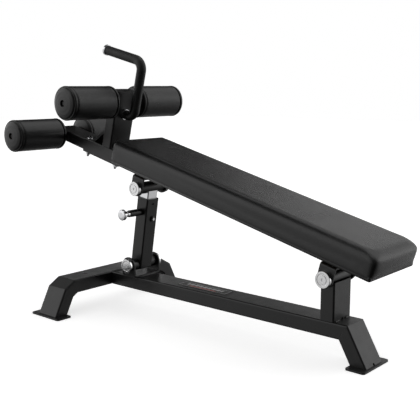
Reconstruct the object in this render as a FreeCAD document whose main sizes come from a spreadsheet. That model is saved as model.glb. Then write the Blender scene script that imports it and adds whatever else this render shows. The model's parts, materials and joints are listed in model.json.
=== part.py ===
import FreeCAD, Part
import math
import os
import re
import Sketcher

# Decline sit-up bench, in millimetres. +Z is up, +X runs towards the low (head) end of the pad and
# -Y is the side with the pull pin. The origin is on the floor under the middle of the bench.
# Three frames are used: the floor frame, the pad frame (its x runs down the slope along the pad, its
# z stands square to the pad, its origin is the middle of the low end of the pad's underside) and the
# strut frame (its z runs up the adjusting strut from the strut's lower pivot).

from FreeCAD import Placement, Rotation, Vector

DIMENSIONS = {
    # Rectangular tube of the base
    "tube_width": 100,
    "tube_depth": 50,
    "tube_wall": 4,
    "tube_corner": 5.5,
    # Base frame
    "crossbar_face": -408.75,
    "rail_top": 127,
    "rail_length": 1040.5,
    "rear_leg_lean": 29.6,
    "crossbar_reach": 231,
    "shoulder_length": 52.5,
    "shoulder_dip": 30,
    "front_leg_dip": 63,
    "foot_thickness": 6,
    "foot_length": 154,
    "front_foot_width": 64,
    "front_foot_reach": 305.3,
    "rear_foot_width": 66,
    "rear_foot_along": 1084.4,
    "foot_corner": 8,
    "leg_stock": 220,
    "vent_radius": 4.5,
    "vent_height": 2.5,
    "label_length": 218,
    "label_width": 46,
    "label_thickness": 1,
    "label_start": 325,
    # Pivots
    "rear_pivot_along": 968.8,
    "rear_pivot_height": 262.6,
    "post_top": 250,
    "strut_foot_along": 112.7,
    "strut_foot_height": 169.4,
    "pivot_spacing": 832.6,
    "pivot_drop": 79.6,
    "rear_pivot_inset": 173.5,
    "pin_radius": 10,
    "bush_bore": 10.05,
    "bush_radius": 13,
    "bush_flange_radius": 19,
    "bush_flange": 2.5,
    "bush_length": 25,
    "sleeve_radius": 22,
    "sleeve_half": 58,
    "open_pivot_bore": 13,
    "open_bush_radius": 16.5,
    "ear_inner": 61,
    "ear_outer": 67,
    "ear_radius": 28,
    "foot_ear_radius": 32,
    "ear_flat": 1,
    "sheet_bend": 8,
    "cap_radius": 26.5,
    "cap_thickness": 13,
    # Strut
    "strut_width": 60,
    "strut_depth": 54,
    "strut_wall": 3,
    "strut_corner": 5,
    "strut_bottom": -9,
    "strut_top": 258.5,
    "inner_width": 50,
    "inner_depth": 44,
    "inner_corner": 4,
    "inner_bottom": 25,
    "inner_top": 290,
    "pin_stops": 5,
    "bush_gap": 0.3,
    "liner_bottom": 217,
    "liner_lip": 1.5,
    "pin_height": 207,
    "pin_pitch": 43,
    "pin_hole": 6.2,
    "barrel_radius": 13,
    "barrel_length": 62,
    "barrel_bore": 7,
    "barrel_end": 4,
    "ferrule_radius": 11,
    "ferrule_length": 11,
    "plunger_radius": 5,
    "plunger_bore": 5.1,
    "plunger_collar": 6.6,
    "knob_neck": 9.5,
    "knob_radius": 20,
    "knob_thickness": 13,
    "clamp_height": 182,
    "clamp_nut_radius": 10.5,
    "clamp_screw_radius": 6,
    "clamp_nut_height": 5,
    "clamp_offset": 5,
    "spring_radius": 6,
    "spring_wire": 0.5,
    "spring_turns": 10,
    # Pad and the frame under it
    "incline": 14.1,
    "pad_length": 1092,
    "pad_width": 270,
    "pad_thickness": 82,
    "pad_corner": 10,
    "pad_end_corner": 6,
    "pad_crown": 26,
    "board_thickness": 15,
    "board_inset": 4,
    "spine_width": 60,
    "spine_depth": 30,
    "spine_wall": 3,
    "spine_end": 60,
    "cross_plate": 3,
    "cross_plate_width": 40,
    "cross_plate_length": 220,
    "screw_radius": 4,
    "screw_head": 7,
    "screw_spread": 90,
    # Beam that carries the rollers
    "beam_width": 100,
    "beam_depth": 55,
    "beam_wall": 5,
    "beam_centre": -14,
    "beam_start": 1145,
    "beam_end": 1340,
    "end_plate": 5,
    "inner_beam_start": 1150,
    "inner_beam_end": 1512,
    "beam_gap": 0.3,
    "beam_cap": 3,
    "plug_gap": 0.7,
    "bolt_radius": 5,
    "bolt_head": 9,
    "bolt_spread": 35,
    "bolt_near": 1166,
    "bolt_far": 1325,
    "bolt_tip": 58,
    "upright_along": 1216.5,
    "upright_depth": 47,
    "upright_top": 228,
    "upright_cap": 3,
    "gusset_length": 60,
    "gusset_height": 64,
    "gusset_thickness": 10,
    "gusset_width": 86,
    # Rollers
    "roller_radius": 61,
    "roller_inner": 71,
    "roller_outer": 261,
    "roller_bore": 20,
    "roller_edge": 7,
    "upper_roller_height": 186,
    "lower_roller_along": 1490,
    "shaft_radius": 12.5,
    "shaft_bore": 12.55,
    "journal_radius": 8,
    "journal_bore": 8.05,
    # Handle
    "handle_height": 146,
    "handle_top": 355.5,
    "handle_along": 1142,
    "handle_tip": 1333,
    "handle_foot_bend": 30,
    "handle_top_bend": 35,
    "handle_radius": 12.5,
    "handle_bore": 10,
    "grip_radius": 17.5,
    "flange_radius": 20,
    "flange_thickness": 7,
    "end_cap_length": 11,
}

ALONG_X = Rotation(Vector(0, 1, 0), Vector(0, 0, 1), Vector(1, 0, 0), "ZXY")
ALONG_Y = Rotation(Vector(1, 0, 0), -90)
OUTWARD = Rotation(Vector(1, 0, 0), 90)
UPRIGHT = Rotation(Vector(0, 1, 0), Vector(-1, 0, 0), Vector(0, 0, 1), "ZXY")
LEVEL = Rotation()

doc = FreeCAD.newDocument("DeclineBench")
sheet = doc.addObject("Spreadsheet::Sheet", "Dimensions")
for row, (alias, number) in enumerate(DIMENSIONS.items(), start=1):
    sheet.set("A%d" % row, alias)
    sheet.set("B%d" % row, str(number))
    sheet.setAlias("B%d" % row, alias)
doc.recompute()

parts = []


# ---------------------------------------------------------------- helpers

def bound(expression):
    """The expression with each dimension's name pointing at the sheet."""
    def point(match):
        word = match.group(0)
        return "Dimensions." + word if word in DIMENSIONS else word
    return re.sub(r"[a-z][a-z_]+", point, expression)


def value(expression):
    return float(sheet.evalExpression(bound(expression)))


def bind(thing, **sizes):
    for prop, expression in sizes.items():
        thing.setExpression(prop, bound(expression))


def place(x=0.0, y=0.0, z=0.0, turn=LEVEL):
    return Placement(Vector(x, y, z), turn)


def keep(thing, label, placement=None):
    """Names a finished piece, puts it in place and lists it for export."""
    thing.Label = label
    if placement is not None:
        thing.Placement = placement
    parts.append(thing)
    return thing


def plane(body, role):
    return next(item for item in body.Origin.OriginFeatures if item.Role == role)


def new_body(name):
    return doc.addObject("PartDesign::Body", name)


def new_sketch(body, name, role):
    sketch = body.newObject("Sketcher::SketchObject", name)
    sketch.AttachmentSupport = [(plane(body, role), "")]
    sketch.MapMode = "FlatFace"
    return sketch


def hold_point(sketch, geometry, end, x, y):
    """Ties a point of the sketch to the origin by two bound distances."""
    for kind, axis, expression in (("DistanceX", -2, x), ("DistanceY", -1, y)):
        if expression == "0":
            sketch.addConstraint(Sketcher.Constraint("PointOnObject", geometry, end, axis))
        else:
            index = sketch.addConstraint(
                Sketcher.Constraint(kind, -1, 1, geometry, end, value(expression)))
            sketch.setExpression("Constraints[%d]" % index, bound(expression))


def outline(sketch, points):
    """Closed outline of straight lines through points given as pairs of expressions."""
    places = [Vector(value(x), value(y), 0) for x, y in points]
    first = sketch.GeometryCount
    count = len(points)
    for k in range(count):
        sketch.addGeometry(Part.LineSegment(places[k], places[(k + 1) % count]))
    for k in range(count):
        sketch.addConstraint(Sketcher.Constraint(
            "Coincident", first + k, 2, first + (k + 1) % count, 1))
        hold_point(sketch, first + k, 1, *points[k])


def circle(sketch, x, y, radius):
    index = sketch.addGeometry(Part.Circle(
        Vector(value(x), value(y), 0), Vector(0, 0, 1), value(radius)))
    hold_point(sketch, index, 3, x, y)
    size = sketch.addConstraint(Sketcher.Constraint("Radius", index, value(radius)))
    sketch.setExpression("Constraints[%d]" % size, bound(radius))


def pad(body, sketch, length, sides="Symmetric"):
    """Extrudes the sketch both ways from its plane, length in all, or one way only."""
    feature = body.newObject("PartDesign::Pad", body.Name + "_pad")
    feature.Profile = sketch
    feature.SideType = sides
    bind(feature, Length=length)
    doc.recompute()
    return feature


def pocket(body, sketch, length):
    """Cuts the sketch both ways from its plane, length in all."""
    before = body.Shape.Volume
    feature = body.newObject("PartDesign::Pocket", body.Name + "_pocket")
    feature.Profile = sketch
    feature.SideType = "Symmetric"
    bind(feature, Length=length)
    doc.recompute()
    if body.Shape.Volume > before - 1e-3:
        raise RuntimeError(body.Name + ": a pocket cuts nothing")
    return feature


def fillet(body, radius, choose):
    """Rounds the edges of the body that choose(edge) picks."""
    tip = body.Tip
    edges = ["Edge%d" % (k + 1) for k, edge in enumerate(tip.Shape.Edges) if choose(edge)]
    feature = body.newObject("PartDesign::Fillet", body.Name + "_fillet")
    feature.Base = (tip, edges)
    bind(feature, Radius=radius)
    doc.recompute()
    return feature


def runs_along(axis):
    """Picks straight edges that run along one axis."""
    def choose(edge):
        if edge.Curve.TypeId != "Part::GeomLine":
            return False
        return abs(abs(edge.Curve.Direction.dot(axis)) - 1) < 1e-6
    return choose


def tube(name, width, depth, length, wall, corner):
    """Hollow rectangular tube with round corners, centred on its own Z axis."""
    body = new_body(name)
    sketch = new_sketch(body, name + "_profile", "XY_Plane")
    outline(sketch, box_points(width, depth))
    pad(body, sketch, length)
    fillet(body, corner, runs_along(Vector(0, 0, 1)))
    cavity = new_sketch(body, name + "_cavity", "XY_Plane")
    inner_width = "%s - 2 * (%s)" % (width, wall)
    inner_depth = "%s - 2 * (%s)" % (depth, wall)
    outline(cavity, box_points(inner_width, inner_depth))
    pocket(body, cavity, length + " + 2")
    half_width = value(inner_width) / 2
    half_depth = value(inner_depth) / 2

    def inner_edge(edge):
        if not runs_along(Vector(0, 0, 1))(edge):
            return False
        spot = edge.Vertexes[0].Point
        return abs(abs(spot.x) - half_width) < 1e-3 and abs(abs(spot.y) - half_depth) < 1e-3

    fillet(body, "%s - (%s)" % (corner, wall), inner_edge)
    return body


def box_points(width, depth):
    """Corners of a rectangle centred on the origin."""
    x = "(%s) / 2" % width
    y = "(%s) / 2" % depth
    return [("-" + x, "-" + y), (x, "-" + y), (x, y), ("-" + x, y)]


def revolved(name, points):
    """Solid of revolution about Z; each point is (radius, height)."""
    body = new_body(name)
    sketch = new_sketch(body, name + "_section", "XZ_Plane")
    outline(sketch, points)
    feature = body.newObject("PartDesign::Revolution", name + "_turn")
    feature.Profile = sketch
    feature.ReferenceAxis = (sketch, ["V_Axis"])
    feature.Angle = 360
    doc.recompute()
    return body


def box(name, length, width, height, placement):
    """Part box, centred on the placement's X and Y and standing on its Z."""
    solid = doc.addObject("Part::Box", name)
    bind(solid, Length=length, Width=width, Height=height)
    corner = Vector(-value(length) / 2, -value(width) / 2, 0)
    solid.Placement = placement.multiply(Placement(corner, LEVEL))
    return solid


def cylinder(name, radius, height, placement):
    """Part cylinder whose middle is at the placement."""
    solid = doc.addObject("Part::Cylinder", name)
    bind(solid, Radius=radius, Height=height)
    solid.Placement = placement.multiply(place(z=-value(height) / 2))
    return solid


def fuse(name, solids):
    joined = doc.addObject("Part::MultiFuse", name)
    joined.Shapes = solids
    joined.Refine = True
    return joined


def cut(name, base, tools):
    """The base with the tools taken away."""
    tool = tools[0] if len(tools) == 1 else fuse(name + "_tools", tools)
    result = doc.addObject("Part::Cut", name)
    result.Base = base
    result.Tool = tool
    return result


def group(name, solids):
    """Several separate solids that share one node."""
    bundle = doc.addObject("Part::Compound", name)
    bundle.Links = solids
    return bundle


def mirrored_name(side):
    return "left" if side > 0 else "right"


# ---------------------------------------------------------------- frames

FACE = value("crossbar_face")
RAIL_MIDDLE = value("rail_top - tube_depth / 2")
SLOPE = Rotation(Vector(0, 1, 0), value("incline"))
REAR_PIVOT = Vector(FACE + value("rear_pivot_along"), 0, value("rear_pivot_height"))
STRUT_FOOT = Vector(FACE + value("strut_foot_along"), 0, value("strut_foot_height"))
PAD_FRAME = Placement(
    REAR_PIVOT + SLOPE.multVec(Vector(value("rear_pivot_inset"), 0, value("pivot_drop"))), SLOPE)
FRONT_PIVOT = REAR_PIVOT + SLOPE.multVec(Vector(-value("pivot_spacing"), 0, 0))
STRUT_REACH = FRONT_PIVOT - STRUT_FOOT
STRUT_LEAN = math.degrees(math.atan2(STRUT_REACH.x, STRUT_REACH.z))
STRUT_FRAME = Placement(STRUT_FOOT, Rotation(Vector(0, 1, 0), STRUT_LEAN))


def on_pad(s=0.0, y=0.0, n=0.0, turn=LEVEL):
    """Placement in the pad frame: s is measured back up the slope from the low end."""
    return PAD_FRAME.multiply(Placement(Vector(-s, y, n), turn))


def on_strut(x=0.0, y=0.0, height=0.0, turn=LEVEL):
    return STRUT_FRAME.multiply(Placement(Vector(x, y, height), turn))


# ---------------------------------------------------------------- base frame

FORWARD = Vector(1, 0, 0)
SIDEWAYS = Vector(0, 1, 0)
DOWN = Vector(0, 0, -1)


def slanted(axis, dip):
    """Direction that leans down from a level axis by an angle in degrees."""
    angle = math.radians(dip)
    return axis * math.cos(angle) + DOWN * math.sin(angle)


def run(name, length, start, along, across):
    """Length of base tube from a starting point, its wide side lying across."""
    body = tube(name, "tube_width", "tube_depth", length, "tube_wall", "tube_corner")
    middle = start + along * (value(length) / 2)
    body.Placement = Placement(middle, Rotation(across, along.cross(across), along, "ZXY"))
    return body


def trim(name, base, *planes):
    """Cuts a piece along planes, each a point and the direction of the waste."""
    blades = []
    for k, (point, waste) in enumerate(planes):
        blade = doc.addObject("Part::Box", "%s_blade_%d" % (name, k + 1))
        bind(blade, Length="leg_stock", Width="leg_stock", Height="leg_stock")
        half = value("leg_stock / 2")
        turn = Rotation(Vector(0, 0, 1), waste)
        blade.Placement = Placement(point, turn).multiply(place(-half, -half, 0))
        blades.append(blade)
    return cut(name, base, blades)


def mitre(first, second):
    """Direction that stands square to the mitre between two runs."""
    return (first + second).normalize()


HALF_DEPTH = value("tube_depth / 2")


def setback(turn):
    """How much nearer the middle line bends than the outer edge does."""
    return HALF_DEPTH * math.tan(math.radians(turn) / 2)


# Middle rail, and the rear leg that carries on from it down to the rear foot
rear_dip = 90 - value("rear_leg_lean")
rear_down = slanted(FORWARD, rear_dip)
rear_bend = Vector(FACE + value("rail_length") - setback(rear_dip), 0, RAIL_MIDDLE)
rear_mitre = mitre(FORWARD, rear_down)

rail_tube = run("rail_tube", "rail_length + tube_depth", Vector(FACE, 0, RAIL_MIDDLE),
                FORWARD, SIDEWAYS)
keep(trim("rail_cut", rail_tube, (rear_bend, rear_mitre)), "base_rail")

leg_tube = run("rear_leg_tube", "leg_stock", rear_bend - rear_down * value("tube_depth"),
               rear_down, SIDEWAYS)
leg_foot = Vector(rear_bend.x, 0, value("foot_thickness"))
leg_cut = trim("rear_leg_cut", leg_tube, (rear_bend, rear_mitre * -1), (leg_foot, DOWN))
vent_z = value("foot_thickness + vent_height")
vent_x = rear_bend.x + (rear_bend.z - vent_z) / math.tan(math.radians(rear_dip))
vent = cylinder("rear_leg_vent_tool", "vent_radius", "tube_depth",
                place(vent_x + value("0.6 * tube_depth"), 0, vent_z, ALONG_X))
keep(cut("rear_leg_vented", leg_cut, [vent]), "rear_leg")


def foot_plate(name, length, width, x, y):
    body = new_body(name)
    outline(new_sketch(body, name + "_outline", "XY_Plane"), box_points(length, width))
    pad(body, body.Group[-1], "foot_thickness")
    fillet(body, "foot_corner", runs_along(Vector(0, 0, 1)))
    body.Placement = place(x, y, value("foot_thickness / 2"))
    return body


keep(foot_plate("rear_foot", "rear_foot_width", "foot_length",
                FACE + value("rear_foot_along"), 0), "rear_foot_plate")

# Front crossbar with a shoulder and a leg on each side
bar_x = FACE - value("tube_width / 2")
shoulder_dip = value("shoulder_dip")
leg_turn = value("front_leg_dip - shoulder_dip")
bar_reach = value("crossbar_reach") - setback(shoulder_dip)
shoulder_run = value("shoulder_length") - setback(shoulder_dip) - setback(leg_turn)
bar_tube = run("crossbar_tube", "2 * crossbar_reach + tube_depth",
               Vector(bar_x, -value("crossbar_reach + tube_depth / 2"), RAIL_MIDDLE),
               SIDEWAYS, FORWARD)
bar_planes = []
front_feet = []
for side in (-1, 1):
    outward = SIDEWAYS * side
    shoulder_down = slanted(outward, shoulder_dip)
    leg_down = slanted(outward, value("front_leg_dip"))
    bar_bend = Vector(bar_x, side * bar_reach, RAIL_MIDDLE)
    leg_bend = bar_bend + shoulder_down * shoulder_run
    bar_mitre = mitre(outward, shoulder_down)
    leg_mitre = mitre(shoulder_down, leg_down)
    bar_planes.append((bar_bend, bar_mitre))
    hand = mirrored_name(side)
    shoulder_tube = run("shoulder_tube_" + hand, "shoulder_length + 2 * tube_depth",
                        bar_bend - shoulder_down * value("tube_depth"), shoulder_down, FORWARD)
    shoulder = trim("shoulder_" + hand, shoulder_tube, (bar_bend, bar_mitre * -1),
                    (leg_bend, leg_mitre))
    lower_tube = run("front_leg_tube_" + hand, "leg_stock",
                     leg_bend - leg_down * value("tube_depth"), leg_down, FORWARD)
    leg_foot = Vector(bar_x, leg_bend.y, value("foot_thickness"))
    lower = trim("lower_leg_" + hand, lower_tube, (leg_bend, leg_mitre * -1), (leg_foot, DOWN))
    keep(group("front_leg_group_" + hand, [shoulder, lower]), "front_leg_" + hand)
    front_feet.append(foot_plate("front_foot_" + hand, "foot_length", "front_foot_width",
                                 bar_x, side * value("front_foot_reach")))
keep(group("front_feet", front_feet), "front_foot_plates")
keep(trim("crossbar_cut", bar_tube, *bar_planes), "front_crossbar")

# Post for the rear pivot, its top hollowed to take the pivot sleeve
post_tube = tube("post_tube", "tube_width", "tube_depth", "post_top - rail_top", "tube_wall",
                 "tube_corner")
post_tube.Placement = place(REAR_PIVOT.x, 0, value("(post_top + rail_top) / 2"), UPRIGHT)
post_cope = cylinder("post_cope", "sleeve_radius", "tube_width + 20",
                     Placement(REAR_PIVOT, ALONG_Y))
post_vent = cylinder("post_vent", "vent_radius", "tube_depth",
                     place(REAR_PIVOT.x + value("tube_depth / 2"), 0,
                           value("rail_top + vent_height"), ALONG_X))
keep(cut("post_cut", post_tube, [post_cope, post_vent]), "rear_post")

# Label plate on the rail, blank, with one raised stripe
label_placement = place(FACE + value("label_start + label_length / 2"), 0, value("rail_top"))
label_sheet = box("label_sheet", "label_length", "label_width", "label_thickness",
                  label_placement)
keep(label_sheet, "label_plate")


# ---------------------------------------------------------------- pivots

def sleeve(name, bore):
    return revolved(name, [(bore, "-sleeve_half"), ("sleeve_radius", "-sleeve_half"),
                           ("sleeve_radius", "sleeve_half"), (bore, "sleeve_half")])


def bushes(name, centre, bore, radius):
    """A pair of flanged bushes pressed into the ends of a sleeve."""
    pair = []
    for side in (-1, 1):
        bush = revolved("%s_%s" % (name, mirrored_name(side)), [
            (bore, "sleeve_half - bush_length"),
            (radius, "sleeve_half - bush_length"),
            (radius, "sleeve_half"),
            ("bush_flange_radius", "sleeve_half"),
            ("bush_flange_radius", "sleeve_half + bush_flange"),
            (bore, "sleeve_half + bush_flange")])
        bush.Placement = Placement(centre, Rotation(Vector(1, 0, 0), -90 * side))
        pair.append(bush)
    return group(name, pair)


def cap(name):
    """Chrome disc with a ring groove and a dimple, its flat back on its own XY plane."""
    return revolved(name, [
        ("0", "0"), ("cap_radius", "0"), ("cap_radius", "cap_thickness - 1"),
        ("cap_radius - 1", "cap_thickness"), ("cap_radius - 7", "cap_thickness"),
        ("cap_radius - 8", "cap_thickness - 1.2"), ("cap_radius - 12", "cap_thickness - 1.2"),
        ("cap_radius - 13", "cap_thickness"), ("cap_radius - 22", "cap_thickness"),
        ("cap_radius - 23", "cap_thickness - 3"), ("0", "cap_thickness - 3")])


def cap_pair(name, centre):
    pair = []
    for side in (-1, 1):
        disc = cap("%s_%s" % (name, mirrored_name(side)))
        edge = centre + SIDEWAYS * (side * value("ear_outer"))
        disc.Placement = Placement(edge, Rotation(Vector(1, 0, 0), -90 * side))
        pair.append(disc)
    return pair


def pivot_pin(name, centre):
    return cylinder(name, "pin_radius", "2 * ear_outer", Placement(centre, ALONG_Y))


def bracket(name, radius, web):
    """U of bent sheet: a web, and two ears that reach up round a pivot at its origin.

    web is the distance from the pivot down to the web's outer face.
    """
    body = new_body(name)
    thick = "(ear_outer - ear_inner)"
    floor = "%s - %s" % (web, thick)
    outline(new_sketch(body, name + "_section", "YZ_Plane"), [
        ("-ear_outer", "-(%s)" % web), ("ear_outer", "-(%s)" % web), ("ear_outer", radius),
        ("ear_inner", radius), ("ear_inner", "-(%s)" % floor), ("-ear_inner", "-(%s)" % floor),
        ("-ear_inner", radius), ("-ear_outer", radius)])
    pad(body, body.Group[-1], "2 * " + radius)
    top = value(radius)

    def at_bend(edge_y, edge_z):
        def choose(edge):
            if not runs_along(FORWARD)(edge):
                return False
            spot = edge.Vertexes[0].Point
            return abs(abs(spot.y) - value(edge_y)) < 1e-3 and abs(spot.z + value(edge_z)) < 1e-3
        return choose

    def at_ear_corner(edge):
        spot = edge.Vertexes[0].Point
        return runs_along(SIDEWAYS)(edge) and abs(spot.z - top) < 1e-3

    fillet(body, "sheet_bend", at_bend("ear_outer", web))
    fillet(body, "sheet_bend - %s" % thick, at_bend("ear_inner", floor))
    fillet(body, "%s - ear_flat" % radius, at_ear_corner)
    circle(new_sketch(body, name + "_holes", "XZ_Plane"), "0", "0", "pin_radius")
    pocket(body, body.Group[-1], "2 * ear_outer + 2")
    return body


# Rear pivot: sleeve and bushes on the post
keep(sleeve("rear_sleeve", "bush_radius"), "rear_pivot_sleeve", Placement(REAR_PIVOT, ALONG_Y))
keep(bushes("rear_bush", REAR_PIVOT, "bush_bore", "bush_radius"), "rear_pivot_bushes")

# Lower strut pivot: bracket, pin and caps on the rail
keep(bracket("lower_bracket_body", "foot_ear_radius", "strut_foot_height - rail_top"),
     "lower_bracket", Placement(STRUT_FOOT, LEVEL))
keep(pivot_pin("lower_pin", STRUT_FOOT), "lower_pivot_pin")
keep(group("lower_caps", cap_pair("lower_cap", STRUT_FOOT)), "lower_pivot_caps")

# Brackets, pins and caps under the pad's spine, rear and front
INVERTED = SLOPE.multiply(Rotation(Vector(0, 1, 0), 180))
for where, centre in (("rear", REAR_PIVOT), ("front", FRONT_PIVOT)):
    keep(bracket("%s_bracket_body" % where, "ear_radius",
                 "pivot_drop - spine_depth - cross_plate"),
         "%s_bracket" % where, Placement(centre, INVERTED))
keep(group("pad_pins", [pivot_pin("rear_pin", REAR_PIVOT), pivot_pin("front_pin", FRONT_PIVOT)]),
     "pad_pivot_pins")
keep(group("pad_caps", cap_pair("rear_cap", REAR_PIVOT) + cap_pair("front_cap", FRONT_PIVOT)),
     "pad_pivot_caps")


# ---------------------------------------------------------------- strut

# Outer tube, welded to the sleeve that turns on the lower pin
outer_length = "strut_top - strut_bottom"
outer_tube = tube("outer_tube", "strut_depth", "strut_width", outer_length, "strut_wall",
                  "strut_corner")
outer_tube.Placement = on_strut(height=value("(strut_top + strut_bottom) / 2"))
outer_cope = cylinder("outer_cope", "sleeve_radius", "strut_width + 20",
                      on_strut(turn=ALONG_Y))
pin_opening = cylinder("pin_opening", "barrel_bore", "strut_wall + 4",
                       on_strut(y=-value("(strut_width - strut_wall) / 2"),
                                height=value("pin_height"), turn=ALONG_Y))
clamp_opening = cylinder("clamp_opening", "clamp_screw_radius", "strut_wall + 4",
                         on_strut(value("(strut_depth - strut_wall) / 2"),
                                  value("clamp_offset"), value("clamp_height"), ALONG_X))
strut_vent = cylinder("strut_vent", "vent_radius", "strut_wall + 4",
                      on_strut(x=value("(strut_depth - strut_wall) / 2"),
                               height=value("strut_top - 4 * vent_radius"), turn=ALONG_X))
keep(cut("outer_cut", outer_tube, [outer_cope, pin_opening, clamp_opening, strut_vent]),
     "strut_outer_tube")
keep(sleeve("lower_sleeve", "bush_radius"), "strut_lower_sleeve", on_strut(turn=ALONG_Y))
keep(bushes("lower_bush", STRUT_FOOT, "bush_bore", "bush_radius"), "lower_pivot_bushes")

# Plastic liner that the inner tube slides in, with a lip over the outer tube's rim
liner_wall = "(strut_depth - inner_depth) / 2 - strut_wall - bush_gap"
liner_body = tube("liner_body", "(strut_depth - 2 * strut_wall)", "(strut_width - 2 * strut_wall)",
                  "strut_top - liner_bottom", liner_wall, "(strut_corner - strut_wall)")
liner_body.Placement = on_strut(height=value("(strut_top + liner_bottom) / 2"))
lip_body = tube("lip_body", "strut_depth", "strut_width", "liner_lip",
                "(strut_depth - inner_depth) / 2 - bush_gap", "strut_corner")
lip_body.Placement = on_strut(height=value("strut_top + liner_lip / 2"))
keep(fuse("liner", [liner_body, lip_body]), "strut_liner")

# Inner tube with its row of pin holes, and the sleeve at its top
inner_tube = tube("inner_tube", "inner_depth", "inner_width", "inner_top - inner_bottom",
                  "strut_wall", "inner_corner")
inner_tube.Placement = on_strut(height=value("(inner_top + inner_bottom) / 2"))
inner_tools = [cylinder("inner_cope", "sleeve_radius", "strut_width + 20",
                        Placement(FRONT_PIVOT, ALONG_Y))]
for stop in range(int(value("pin_stops"))):
    height = value("pin_height") - stop * value("pin_pitch")
    middle = -value("(inner_width - strut_wall) / 2")
    inner_tools.append(cylinder("pin_hole_%d" % (stop + 1), "pin_hole", "strut_wall + 4",
                                on_strut(y=middle, height=height, turn=ALONG_Y)))
keep(cut("inner_cut", inner_tube, inner_tools), "strut_inner_tube")
keep(sleeve("upper_sleeve", "open_bush_radius"), "strut_upper_sleeve",
     Placement(FRONT_PIVOT, ALONG_Y))
keep(bushes("upper_bush", FRONT_PIVOT, "open_pivot_bore", "open_bush_radius"),
     "strut_upper_bushes")

# Sprung pull pin on the strut's near side; heights are measured out from the strut's middle
PIN_FRAME = on_strut(height=value("pin_height"), turn=OUTWARD)
face = "strut_width / 2"
barrel_tip = face + " + barrel_length"
ferrule_tip = barrel_tip + " + ferrule_length"
keep(revolved("barrel", [
    ("barrel_bore", face), ("barrel_radius", face), ("barrel_radius", barrel_tip),
    ("plunger_bore", barrel_tip), ("plunger_bore", barrel_tip + " - barrel_end"),
    ("barrel_bore", barrel_tip + " - barrel_end")]), "pin_barrel", PIN_FRAME)
keep(revolved("ferrule", [
    ("plunger_bore", barrel_tip), ("ferrule_radius", barrel_tip),
    ("ferrule_radius", ferrule_tip + " - 1"), ("ferrule_radius - 1", ferrule_tip),
    ("plunger_bore", ferrule_tip)]), "pin_ferrule", PIN_FRAME)
nose = "inner_width / 2 + 0.5"
collar = face + " + 1"
seat = face + " + 5"
rod_tip = ferrule_tip + " + 13"
keep(revolved("plunger", [
    ("0", nose), ("plunger_radius - 1", nose), ("plunger_radius", nose + " + 1"),
    ("plunger_radius", collar), ("plunger_collar", collar), ("plunger_collar", seat),
    ("plunger_radius", seat), ("plunger_radius", rod_tip), ("0", rod_tip)]),
    "pin_plunger", PIN_FRAME)
neck = ferrule_tip + " + 0.5"
rim = ferrule_tip + " + 15"
crown = rim + " + knob_thickness"
keep(revolved("knob", [
    ("plunger_radius", neck), ("knob_neck", neck), ("knob_neck", rim + " - 1"),
    ("knob_neck + 2", rim), ("knob_radius - 1", rim), ("knob_radius", rim + " + 1"),
    ("knob_radius", crown + " - 4"), ("knob_radius - 2", crown + " - 1.5"),
    ("knob_radius / 2", crown), ("0", crown), ("0", rod_tip), ("plunger_radius", rod_tip)]),
    "pin_knob", PIN_FRAME)

spring_start = seat + " + spring_wire + 0.1"
spring_reach = "barrel_length - barrel_end - 5 - 2 * spring_wire - 0.2"
coil = doc.addObject("Part::Helix", "spring_coil")
bind(coil, Radius="spring_radius", Height=spring_reach,
     Pitch="(%s) / spring_turns" % spring_reach)
wire = doc.addObject("Part::Circle", "spring_section")
bind(wire, Radius="spring_wire")
wire.Placement = place(x=value("spring_radius"), turn=Rotation(Vector(1, 0, 0), 90))
spring = doc.addObject("Part::Sweep", "spring_sweep")
spring.Sections = [wire]
spring.Spine = (coil, [])
spring.Solid = True
spring.Frenet = True
doc.recompute()
keep(spring, "pin_spring", PIN_FRAME.multiply(place(z=value(spring_start))))

# Clamp screw on the strut's low-end side, which takes up the play of the inner tube
CLAMP_FRAME = on_strut(0, value("clamp_offset"), value("clamp_height"), ALONG_X)
clamp_face = "strut_depth / 2"
keep(revolved("clamp_ring", [
    ("clamp_screw_radius", clamp_face), ("clamp_nut_radius", clamp_face),
    ("clamp_nut_radius", clamp_face + " + clamp_nut_height - 1.5"),
    ("clamp_nut_radius - 1.5", clamp_face + " + clamp_nut_height"),
    ("clamp_screw_radius", clamp_face + " + clamp_nut_height")]), "clamp_nut", CLAMP_FRAME)
keep(revolved("clamp_rod", [
    ("0", "inner_depth / 2 + 0.8"), ("clamp_screw_radius", "inner_depth / 2 + 0.8"),
    ("clamp_screw_radius", clamp_face + " + clamp_nut_height + 2"),
    ("clamp_screw_radius - 1.5", clamp_face + " + clamp_nut_height + 3.5"),
    ("0", clamp_face + " + clamp_nut_height + 3.5")]), "clamp_screw", CLAMP_FRAME)


# ---------------------------------------------------------------- frame under the pad

PAD_X = ALONG_X
beam_mouth = "(beam_start - end_plate)"
spine = tube("spine_tube", "spine_width", "spine_depth", beam_mouth + " - spine_end",
             "spine_wall", "strut_corner")
spine_level = value("-cross_plate - spine_depth / 2")
keep(spine, "pad_spine",
     on_pad(value("(%s + spine_end) / 2" % beam_mouth), n=spine_level, turn=PAD_X))

screw_tools = []
screws = []
plates = []
for k, along in enumerate((140, 560, 985), start=1):
    plates.append(box("plate_%d" % k, "cross_plate_width", "cross_plate_length", "cross_plate",
                      on_pad(along, n=-value("cross_plate"))))
    for side in (-1, 1):
        tag = "%d_%s" % (k, mirrored_name(side))
        y = side * value("screw_spread")
        screw_tools.append(cylinder("screw_hole_" + tag, "screw_radius", "24", on_pad(along, y)))
        screw = revolved("screw_" + tag, [
            ("0", "-cross_plate - 4"), ("screw_head - 2", "-cross_plate - 4"),
            ("screw_head", "-cross_plate - 2"), ("screw_head", "-cross_plate"),
            ("screw_radius", "-cross_plate"), ("screw_radius", "12"), ("0", "12")])
        screw.Placement = on_pad(along, y)
        screws.append(screw)
keep(cut("drilled_plates", group("plates", plates), screw_tools), "pad_cross_plates")
keep(group("screws", screws), "pad_screws")


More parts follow.
